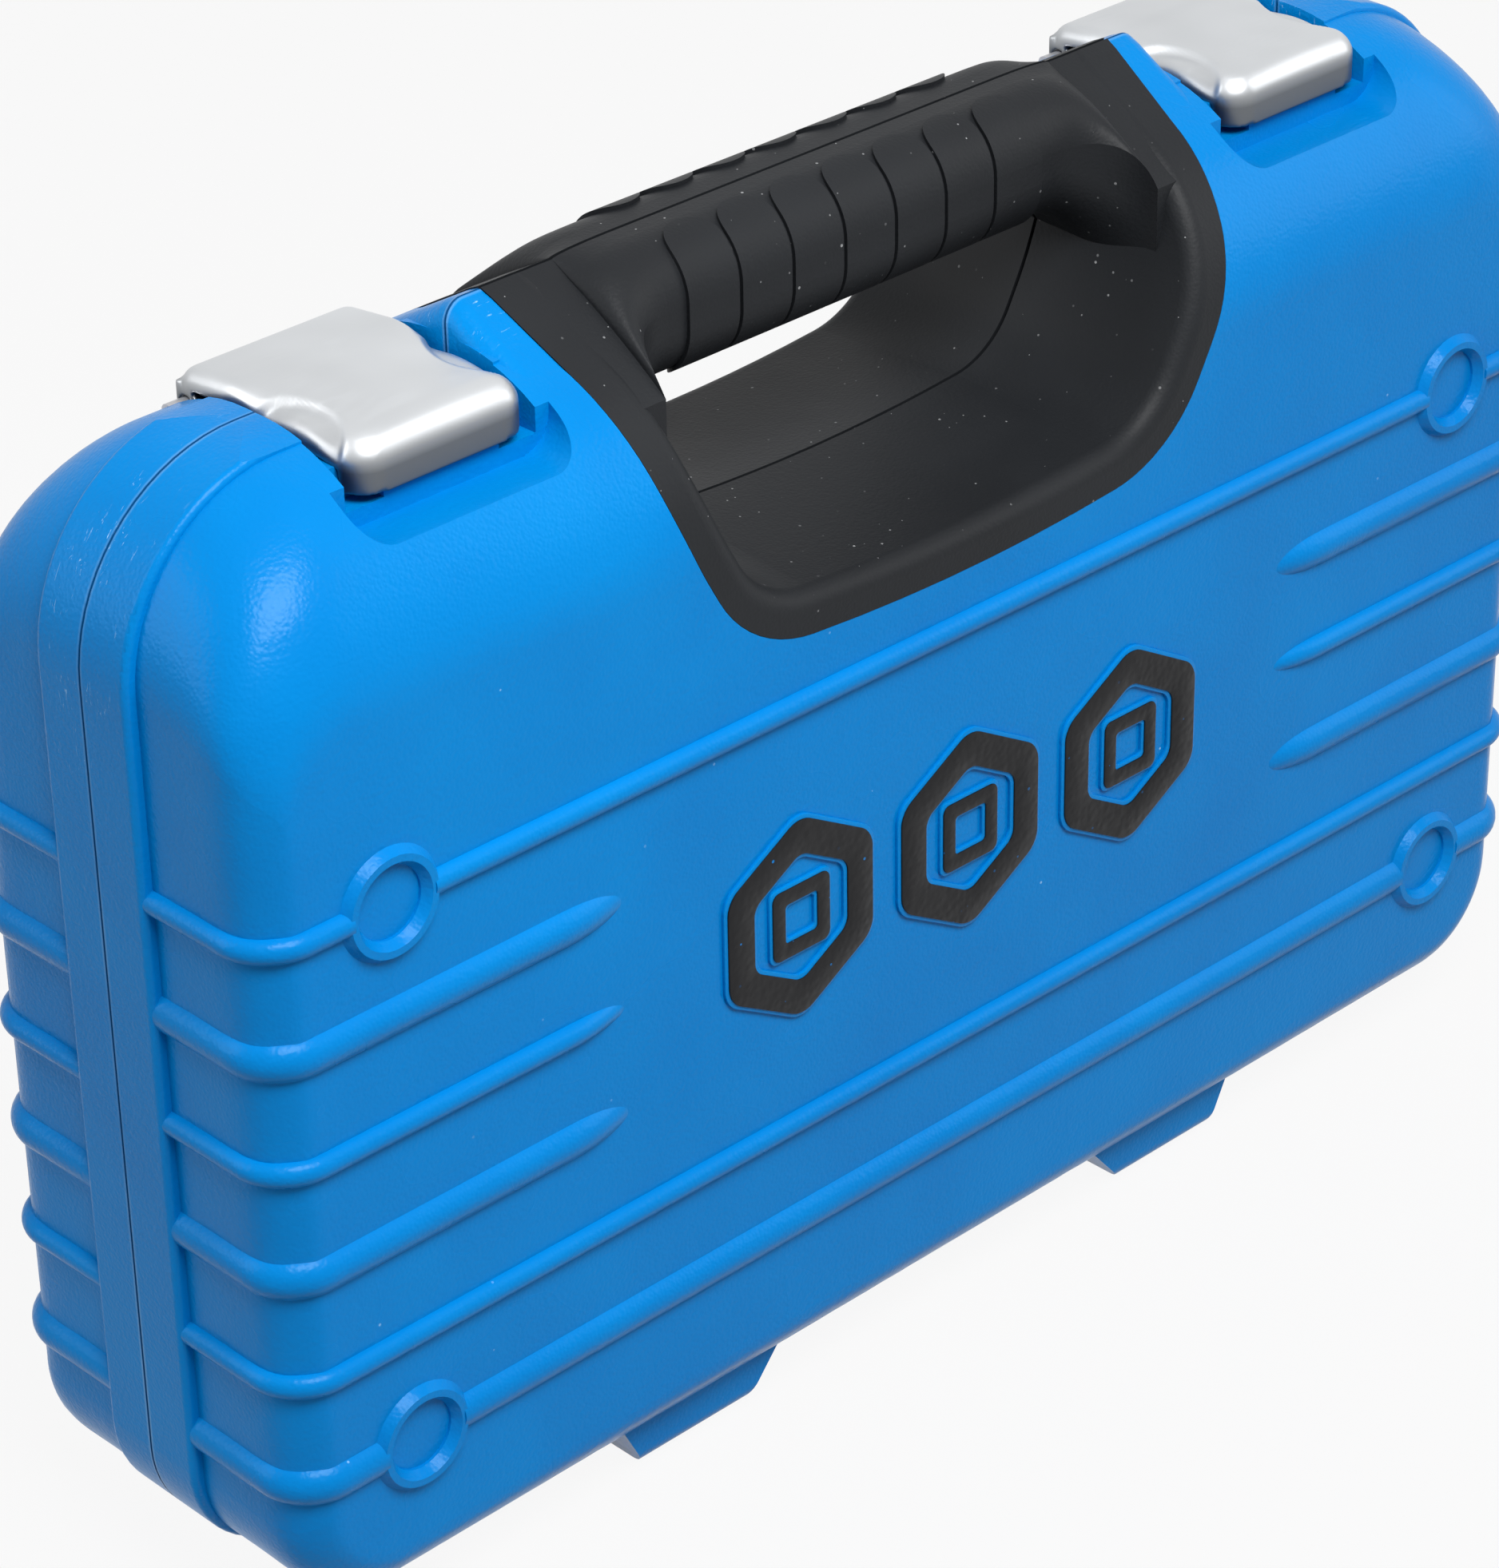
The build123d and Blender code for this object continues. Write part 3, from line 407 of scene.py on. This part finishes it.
def azure_plastic():
    made, tree, shader, position = new_finish("azure_plastic", specular=0.11)
    shader["Specular Tint"].default_value = AZURE_GLINT
    grain = put_group(tree, GRAIN, position, Pitch=1300.0)
    scrapes = put_group(tree, SCRAPES, position, Pitch=420.0, Amount=0.62)
    dust = put_group(tree, DUST, position, Pitch=120.0, Size=0.035)
    band, edge, gap_shadow = seam_zone(tree, position)
    worn = calculate(tree, "MULTIPLY", scrapes["Mask"], band)
    # Pale line along the seam's edge: partly wear, partly painted highlight.
    patchy = calculate(tree, "MULTIPLY", edge, grain["Tone"])
    edge_wear_and_highlight = calculate(tree, "MULTIPLY", patchy, EDGE_WEAR_AND_HIGHLIGHT_SHARE)
    specks = calculate(tree, "MULTIPLY", dust["Mask"], DUST_SHARE)
    pale = calculate(tree, "MAXIMUM", calculate(tree, "MAXIMUM", worn, specks), edge_wear_and_highlight)
    blue = tint(tree, grain["Tone"], AZURE_DEEP, AZURE_LIGHT)
    used = tint(tree, pale, blue, AZURE_WEAR_AND_HIGHLIGHT)
    # Painted shadow: the gap between the halves darkens towards AZURE_SHADE.
    tree.links.new(tint(tree, gap_shadow, used, AZURE_SHADE), shader["Base Color"])
    gloss = remap(tree, grain["Tone"], 0.0, 1.0, *AZURE_GLOSS)
    tree.links.new(gloss, shader["Roughness"])
    bump(tree, shader, grain["Height"], strength=0.24, depth=0.25 * MM)
    return made


FINISH = {"case_plastic": azure_plastic()}
print("finish:", FINISH["case_plastic"].name)

# %% [markdown]
# The handle is charcoal rubber-like plastic: nearly black, matt, with pale dust on it. Black
# stays deep only if little light glints off it, so its specular level is low, and the grain
# is finer than the case's.
# %% Charcoal handle
CHARCOAL_DEEP = (0.0085, 0.0095, 0.0112)
CHARCOAL_LIGHT = (0.0130, 0.0145, 0.0168)
CHARCOAL_GLOSS = (0.44, 0.58)
DUST_GREY = (0.42, 0.43, 0.44)


def charcoal(name, pitch, dusty):
    made, tree, shader, position = new_finish(name, specular=0.15)
    grain = put_group(tree, GRAIN, position, Pitch=pitch)
    dust = put_group(tree, DUST, position, Pitch=430.0, Size=0.13)
    black = tint(tree, grain["Tone"], CHARCOAL_DEEP, CHARCOAL_LIGHT)
    specks = calculate(tree, "MULTIPLY", dust["Mask"], dusty)
    tree.links.new(tint(tree, specks, black, DUST_GREY), shader["Base Color"])
    gloss = remap(tree, grain["Tone"], 0.0, 1.0, *CHARCOAL_GLOSS)
    tree.links.new(gloss, shader["Roughness"])
    bump(tree, shader, grain["Height"], strength=0.20, depth=0.2 * MM)
    return made


FINISH["handle_rubber"] = charcoal("charcoal_handle", pitch=1500.0, dusty=0.6)
FINISH["grip_plastic"] = charcoal("charcoal_grip", pitch=1100.0, dusty=0.1)
FINISH["insert_rubber"] = charcoal("charcoal_insert", pitch=2200.0, dusty=0.0)
print("finishes:", list(FINISH))

# %% [markdown]
# The latches are pressed from zinc-plated sheet: bright but satin, with faint rolling marks
# and smudges. The tools are chrome with a softer satin, and the pins are plain drawn wire.
# All three are metal, so their colour tints what they mirror. Gloss and a faint waviness
# change over the surface, and on the latches painted shade darkens the drawn skirts below the top.
# %% Metals
# Heights over which painted shade darkens the latch skirts towards their foot.
SKIRT_SHADE_HEIGHT = (229.0 * MM, 234.6 * MM)
TOP_TONE = (0.78, 1.0)
SMUDGE_SHARE = 0.06


def plated(name, dark, light, gloss, pitch, strength, painted_skirt_shade=False):
    made, tree, shader, position = new_finish(name, metallic=1.0)
    grain = put_group(tree, GRAIN, position, Pitch=pitch)
    smudges = put_group(tree, SCRAPES, position, Pitch=90.0, Amount=0.52)
    tone = grain["Tone"]
    # Painted shade: below the top, the skirts darken towards their foot.
    if painted_skirt_shade:
        place = add_node(tree, "SeparateXYZ")
        tree.links.new(position, place.inputs[0])
        height = remap(tree, place.outputs["Z"], *SKIRT_SHADE_HEIGHT)
        tone = calculate(tree, "MULTIPLY", height, remap(tree, tone, 0.0, 1.0, *TOP_TONE))
    tree.links.new(tint(tree, tone, dark, light), shader["Base Color"])
    even = remap(tree, grain["Tone"], 0.0, 1.0, *gloss)
    patchy = calculate(tree, "MULTIPLY", smudges["Mask"], SMUDGE_SHARE)
    tree.links.new(calculate(tree, "ADD", even, patchy), shader["Roughness"])
    bump(tree, shader, grain["Height"], strength, depth=0.1 * MM)
    return made


FINISH["latch_steel"] = plated(
    "zinc_latch", dark=(0.16, 0.17, 0.18), light=(0.70, 0.72, 0.74),
    gloss=(0.34, 0.44), pitch=500.0, strength=0.10, painted_skirt_shade=True,
)
FINISH["tool_chrome"] = plated(
    "satin_chrome", dark=(0.50, 0.52, 0.54), light=(0.62, 0.64, 0.66),
    gloss=(0.16, 0.26), pitch=900.0, strength=0.06,
)
FINISH["pin_steel"] = plated(
    "drawn_wire", dark=(0.48, 0.48, 0.50), light=(0.58, 0.58, 0.60),
    gloss=(0.30, 0.42), pitch=1200.0, strength=0.10,
)
for name, node in nodes.items():
    node.data.materials.clear()
    node.data.materials.append(FINISH[slot_of[name]])
print("finished solids:", len(nodes))

# %% [markdown]
# The middle of the lid carries a plain sign of what is inside: three black hexagons, each round
# a square, as a socket looks from its end. The sign could be a texture, but it stands proud of
# the lid and catches light on its rim. So two outlines, one inside the other, are drawn flat,
# rounded at their corners, bridged to a ring and pulled out.
# %% Outline tools
FACE = -41.7 * MM


def select_nothing():
    if bpy.context.object and bpy.context.object.mode != "OBJECT":
        bpy.ops.object.mode_set(mode="OBJECT")
    bpy.ops.object.select_all(action="DESELECT")


def add_loop(sides, radius, corner, turn):
    """One closed outline of straight sides with rounded corners, left selected."""
    bpy.ops.mesh.select_all(action="DESELECT")
    bpy.ops.mesh.primitive_circle_add(
        vertices=sides, radius=radius, rotation=(math.pi / 2, turn, 0)
    )
    bpy.ops.mesh.bevel(offset=corner, segments=5, affect="VERTICES")


def raise_outline(name, sides, outer, inner, turn, low, high):
    """A ring between two outlines on the lid's face, standing from low to high before it."""
    select_nothing()
    bpy.ops.mesh.primitive_circle_add(vertices=3, radius=outer[0])
    piece = bpy.context.object
    piece.name = name
    bpy.ops.object.mode_set(mode="EDIT")
    bpy.ops.mesh.delete(type="VERT")
    for radius, corner in (outer, inner):
        add_loop(sides, radius, corner, turn)
    bpy.ops.mesh.select_all(action="SELECT")
    bpy.ops.mesh.bridge_edge_loops()
    bpy.ops.mesh.select_all(action="SELECT")
    bpy.ops.transform.translate(value=(0, FACE - low, 0))
    bpy.ops.mesh.extrude_region_move(TRANSFORM_OT_translate={"value": (0, low - high, 0)})
    bpy.ops.mesh.select_all(action="SELECT")
    bpy.ops.mesh.normals_make_consistent(inside=False)
    bpy.ops.object.mode_set(mode="OBJECT")
    return piece


def soften(piece, width, segments=2, angle=40):
    """Round the sharp edges of a piece and let its faces shade smoothly between them."""
    select_nothing()
    piece.select_set(True)
    bpy.context.view_layer.objects.active = piece
    edge = piece.modifiers.new("soft_edge", "BEVEL")
    edge.width = width
    edge.segments = segments
    edge.limit_method = "ANGLE"
    edge.angle_limit = math.radians(angle)
    bpy.ops.object.modifier_apply(modifier=edge.name)
    bpy.ops.object.shade_smooth_by_angle(angle=math.radians(35))


def copy_to(piece, name, offset):
    twin = bpy.data.objects.new(name, piece.data.copy())
    bpy.context.scene.collection.objects.link(twin)
    twin.data.transform(Matrix.Translation(offset))
    return twin


def dress(piece, body, finish):
    piece.data.materials.clear()
    piece.data.materials.append(finish)
    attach(piece, body)


print("outline tools ready")

# %% [markdown]
# The black of the sign is a hot-stamped foil: shinier than the handle, a little uneven, with
# pinholes where the foil didn't take and the blue shows through.
# %% Raised sign on the lid
SIGN_MIDDLE = 113 * MM
SIGN_PITCH = 46 * MM
SIGN_SOFT = 0.2 * MM
FOIL_DEEP = (0.006, 0.006, 0.007)
FOIL_LIGHT = (0.012, 0.012, 0.013)
FOIL_GLOSS = (0.26, 0.42)


def stamped_foil():
    made, tree, shader, position = new_finish("stamped_foil", specular=0.16)
    grain = put_group(tree, GRAIN, position, Pitch=600.0)
    holes = put_group(tree, DUST, position, Pitch=420.0, Size=0.14)
    black = tint(tree, grain["Tone"], FOIL_DEEP, FOIL_LIGHT)
    tree.links.new(tint(tree, holes["Mask"], black, AZURE_DEEP), shader["Base Color"])
    gloss = remap(tree, grain["Tone"], 0.0, 1.0, *FOIL_GLOSS)
    tree.links.new(gloss, shader["Roughness"])
    bump(tree, shader, grain["Height"], strength=0.35, depth=0.3 * MM)
    return made


foil = stamped_foil()
# shape: (sides, (outer radius, corner), (inner radius, corner), turn), lengths in millimetres
SIGN = {
    "hexagon": (6, (22.0, 3.0), (14.2, 2.0), 0.0),
    "square": (4, (10.6, 1.8), (6.0, 0.9), math.pi / 4),
}
# layer: (growth past the outlines, low, high, finish, slot), heights before the lid's face
LAYERS = {
    "plinth": (0.9, -0.1, 0.75, FINISH["case_plastic"], "case_plastic"),
    "foil": (0.0, 0.7, 1.15, foil, "grip_plastic"),
}


def sign_layer(shape, layer):
    sides, outer, inner, turn = SIGN[shape]
    grow, low, high, finish, slot = LAYERS[layer]
    wide = ((outer[0] + grow) * MM, outer[1] * MM)
    narrow = ((inner[0] - grow) * MM, inner[1] * MM)
    first = raise_outline(shape, sides, wide, narrow, turn, low * MM, high * MM)
    soften(first, SIGN_SOFT)
    for column in (-1, 0, 1):
        offset = (column * SIGN_PITCH, 0, SIGN_MIDDLE)
        twin = copy_to(first, f"{shape}_{layer}_{column + 2}", offset)
        dress(twin, "lid", finish)
    bpy.data.objects.remove(first)


for shape in SIGN:
    for layer in LAYERS:
        sign_layer(shape, layer)
print("sign pieces:", 3 * len(SIGN) * len(LAYERS))

# %% [markdown]
# Each latch is deep-drawn from one sheet: its top swells like a pillow, and beside its two
# flanks crescents are pressed down to stiffen it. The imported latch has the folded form, but
# its flat top is a few long triangles. A copy of it is remeshed to an even net of half a
# millimetre, and then the press is one rule: how far each point of the top goes up or down.
# %% Pressed latches
NET = 0.5 * MM
MERGE = 0.002 * MM
PILLOW_RISE = 0.6 * MM
EDGE_REACH = 6.0 * MM
EDGE_DROP = 2.0 * MM
PRESS_DEPTH = 1.3 * MM
PRESS_RADIUS = 14.0 * MM
PRESS_OFF = 7.0 * MM
PRESS_RIM = 1.6 * MM
PRESS_Y = -9.0 * MM
PIN_SIDE = 8.0 * MM


def smooth_step(share):
    share = min(max(share, 0.0), 1.0)
    return share * share * (3 - 2 * share)


def press_top(piece, low, high):
    """Swell the top, round its edges off and press a crescent beside each flank."""
    middle = (low + high) / 2
    half = (high - low) / 2
    for vertex in piece.data.vertices:
        x, y, z = vertex.co
        across = abs(x - middle.x)
        past_flank = max(0.0, across - half.x + EDGE_REACH)
        past_front = max(0.0, low.y + EDGE_REACH - y)
        beyond = math.hypot(past_flank, past_front)
        drop = EDGE_DROP * min(beyond / EDGE_REACH, 1.0) ** 2
        reach = math.hypot(half.x + PRESS_OFF - across, y - PRESS_Y)
        inner = smooth_step((PRESS_RADIUS - reach) / PRESS_RIM)
        outer = smooth_step((reach - PRESS_OFF) / (PRESS_RADIUS - PRESS_OFF - PRESS_RIM))
        dent = PRESS_DEPTH * inner * outer
        swell = PILLOW_RISE * max(0.0, 1 - (across / half.x) ** 2)
        fore = smooth_step((PIN_SIDE - y) / PIN_SIDE)
        height = (z - low.z) / (high.z - low.z)
        vertex.co.z = z + (swell - drop - dent) * fore * height


def pressed_latch(name):
    low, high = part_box(name)
    select_nothing()
    piece = copy_to(nodes[name], name + "_pressed", (0, 0, 0))
    piece.select_set(True)
    bpy.context.view_layer.objects.active = piece
    bpy.ops.object.mode_set(mode="EDIT")
    bpy.ops.mesh.select_all(action="SELECT")
    bpy.ops.mesh.remove_doubles(threshold=MERGE)
    bpy.ops.object.mode_set(mode="OBJECT")
    net = piece.modifiers.new("even_net", "REMESH")
    net.mode = "VOXEL"
    net.voxel_size = NET
    bpy.ops.object.modifier_apply(modifier=net.name)
    ease = piece.modifiers.new("ease", "SMOOTH")
    ease.iterations = 3
    bpy.ops.object.modifier_apply(modifier=ease.name)
    press_top(piece, low, high)
    bpy.ops.object.shade_smooth()
    dress(piece, name, FINISH["latch_steel"])
    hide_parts(name)
    return piece


for name in ("latch_left", "latch_right"):
    latch = pressed_latch(name)
    print(latch.name, len(latch.data.polygons), "faces")

# %% [markdown]
# The tools lie inside, and show when the lid is down. Sockets and bars have a knurled band, so
# that oily fingers can turn them. Knurling could be a bump, but its teeth show at the outline:
# a tube is cut into rows with bisect, and each small face is inset and pushed out.
# %% Knurled bands
KNURL_SIDES = 44
KNURL_RISE = 0.3 * MM
KNURL_INSET = 0.28 * MM
BAND_WALL = 0.5 * MM
BAND_LENGTH = 7 * MM
BAND_LIFT = 0.02 * MM
BAND_FROM_END = 9 * MM
EXTENSION_RADIUS = 11.0 * MM
EXTENSION_BAND = 16 * MM
DRIVE_WIDTH = 22.0
DRIVE_GROWTH = 0.6
LAST_EVEN_SIZE = 17
SPARK_SIZE = 21


def knurled_tube(name, radius, length):
    select_nothing()
    bpy.ops.mesh.primitive_cylinder_add(
        vertices=KNURL_SIDES, radius=radius, depth=length, end_fill_type="NOTHING"
    )
    piece = bpy.context.object
    piece.name = name
    bpy.ops.object.mode_set(mode="EDIT")
    for height in (-length / 6, length / 6):
        bpy.ops.mesh.select_all(action="SELECT")
        bpy.ops.mesh.bisect(plane_co=(0, 0, height), plane_no=(0, 0, 1))
    bpy.ops.mesh.select_all(action="SELECT")
    bpy.ops.mesh.inset(thickness=KNURL_INSET, depth=KNURL_RISE, use_individual=True)
    bpy.ops.object.mode_set(mode="OBJECT")
    wall = piece.modifiers.new("wall", "SOLIDIFY")
    wall.thickness = BAND_WALL
    wall.offset = -1
    bpy.ops.object.modifier_apply(modifier=wall.name)
    return piece


def socket_drive_radius(size):
    return (DRIVE_WIDTH + DRIVE_GROWTH * max(0, size - LAST_EVEN_SIZE)) / 2 * MM


def band_place(name):
    """Radius of the band's tube and the matrix that lays it on its tool."""
    low, high = (Vector(corner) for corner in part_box(name))
    middle = (low + high) / 2
    along_x = Matrix.Rotation(math.pi / 2, 4, "Y")
    if name.startswith("extension"):
        place = Matrix.Translation((high.x - EXTENSION_BAND, middle.y, middle.z))
        return EXTENSION_RADIUS, place @ along_x
    if name == "spark_plug_socket":
        place = Matrix.Translation((low.x + BAND_FROM_END, middle.y, middle.z))
        return socket_drive_radius(SPARK_SIZE), place @ along_x
    radius = socket_drive_radius(int(name.split("_")[1]))
    return radius, Matrix.Translation((middle.x, middle.y, low.z + BAND_FROM_END))


KNURLED = ("socket_", "extension_", "spark_plug_socket")
knurled_tools = [name for name in nodes if name.startswith(KNURLED)]
for name in knurled_tools:
    radius, place = band_place(name)
    band = knurled_tube(name + "_knurl", radius + BAND_LIFT, BAND_LENGTH)
    band.data.transform(place)
    dress(band, "base", FINISH["tool_chrome"])
print("knurled bands:", len(knurled_tools))

# %% [markdown]
# The ratchet's grip has rounded finger rings moulded round its waist, the outer two in the
# case's blue. A ring starts as a short tube, gets a wall, and its edges are rounded with a
# bevel, so that it sits on the grip like a moulded bead.
# %% Rings on the ratchet's grip
GRIP_WAIST = 142
GRIP_SWELL = 192
WAIST_RADIUS = 10.8
SWELL_RADIUS = 14.0
GRIP_RINGS = (146, 154, 162, 170, 178, 186)
GRIP_START = 112
RING_RISE = 0.9
RING_LENGTH = 4.6 * MM
RING_WALL = 1.6 * MM
RING_SOFT = 0.6 * MM


def grip_radius(reach):
    share = (reach - GRIP_WAIST) / (GRIP_SWELL - GRIP_WAIST)
    return WAIST_RADIUS + (SWELL_RADIUS - WAIST_RADIUS) * share


def grip_ring(name, radius, length):
    select_nothing()
    bpy.ops.mesh.primitive_cylinder_add(
        vertices=56, radius=radius, depth=length, end_fill_type="NOTHING"
    )
    piece = bpy.context.object
    piece.name = name
    wall = piece.modifiers.new("wall", "SOLIDIFY")
    wall.thickness = RING_WALL
    wall.offset = -1
    bpy.ops.object.modifier_apply(modifier=wall.name)
    soften(piece, RING_SOFT, segments=3, angle=60)
    return piece


grip_low, grip_high = (Vector(corner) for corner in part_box("ratchet_grip"))
grip_middle = (grip_low + grip_high) / 2
grip_origin = grip_low.x - GRIP_START * MM
for count, reach in enumerate(GRIP_RINGS):
    radius = (grip_radius(reach) + RING_RISE) * MM
    ring = grip_ring(f"grip_ring_{count + 1}", radius, RING_LENGTH)
    place = Matrix.Translation((grip_origin + reach * MM, grip_middle.y, grip_middle.z))
    ring.data.transform(place @ Matrix.Rotation(math.pi / 2, 4, "Y"))
    slot = "case_plastic" if count in (0, len(GRIP_RINGS) - 1) else "grip_plastic"
    dress(ring, "base", FINISH[slot])
print("grip rings:", len(GRIP_RINGS))

# %% [markdown]
# Three hollow rivets hold the cover plate on the ratchet's head. Each is a short cylinder whose
# outer face is inset and pushed in for the hollow, with its rim rounded by a bevel.
# %% Rivets on the ratchet's cover
RIVET_RADIUS = 2.0 * MM
RIVET_HEIGHT = 1.0 * MM
RIVET_RIM = 0.8 * MM
RIVET_HOLLOW = 0.6 * MM
RIVET_SOFT = 0.2 * MM
RIVET_PLACES = ((-11.5, 0.0), (5.5, 11.5), (5.5, -11.5))


def hollow_rivet(name):
    select_nothing()
    bpy.ops.mesh.primitive_cylinder_add(
        vertices=24, radius=RIVET_RADIUS, depth=RIVET_HEIGHT, rotation=(math.pi / 2, 0, 0)
    )
    piece = bpy.context.object
    piece.name = name
    bpy.ops.object.transform_apply(location=True, rotation=True, scale=True)
    bpy.ops.object.mode_set(mode="EDIT")
    bpy.ops.mesh.select_all(action="DESELECT")
    bpy.ops.object.mode_set(mode="OBJECT")
    for face in piece.data.polygons:
        face.select = face.normal.y < -0.9
    bpy.ops.object.mode_set(mode="EDIT")
    bpy.ops.mesh.inset(thickness=RIVET_RIM)
    bpy.ops.mesh.extrude_region_move(TRANSFORM_OT_translate={"value": (0, RIVET_HOLLOW, 0)})
    bpy.ops.object.mode_set(mode="OBJECT")
    soften(piece, RIVET_SOFT)
    return piece


plate_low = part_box("ratchet_cover")[0]
wheel_low, wheel_high = (Vector(corner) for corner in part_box("ratchet_gear"))
wheel = (wheel_low + wheel_high) / 2
first_rivet = hollow_rivet("rivet")
for count, (x, z) in enumerate(RIVET_PLACES):
    place = (wheel.x + x * MM, plate_low.y, wheel.z + z * MM)
    rivet = copy_to(first_rivet, f"cover_rivet_{count + 1}", place)
    dress(rivet, "base", FINISH["pin_steel"])
bpy.data.objects.remove(first_rivet)
print("rivets:", len(RIVET_PLACES))

# %% [markdown]
# Last come the sizes.
# %% Sizes and finish
visual_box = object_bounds()
size = {
    "cad": [list(corner) for corner in cad_box],
    "visual": [list(corner) for corner in visual_box],
}
print("visual box:", size["visual"])
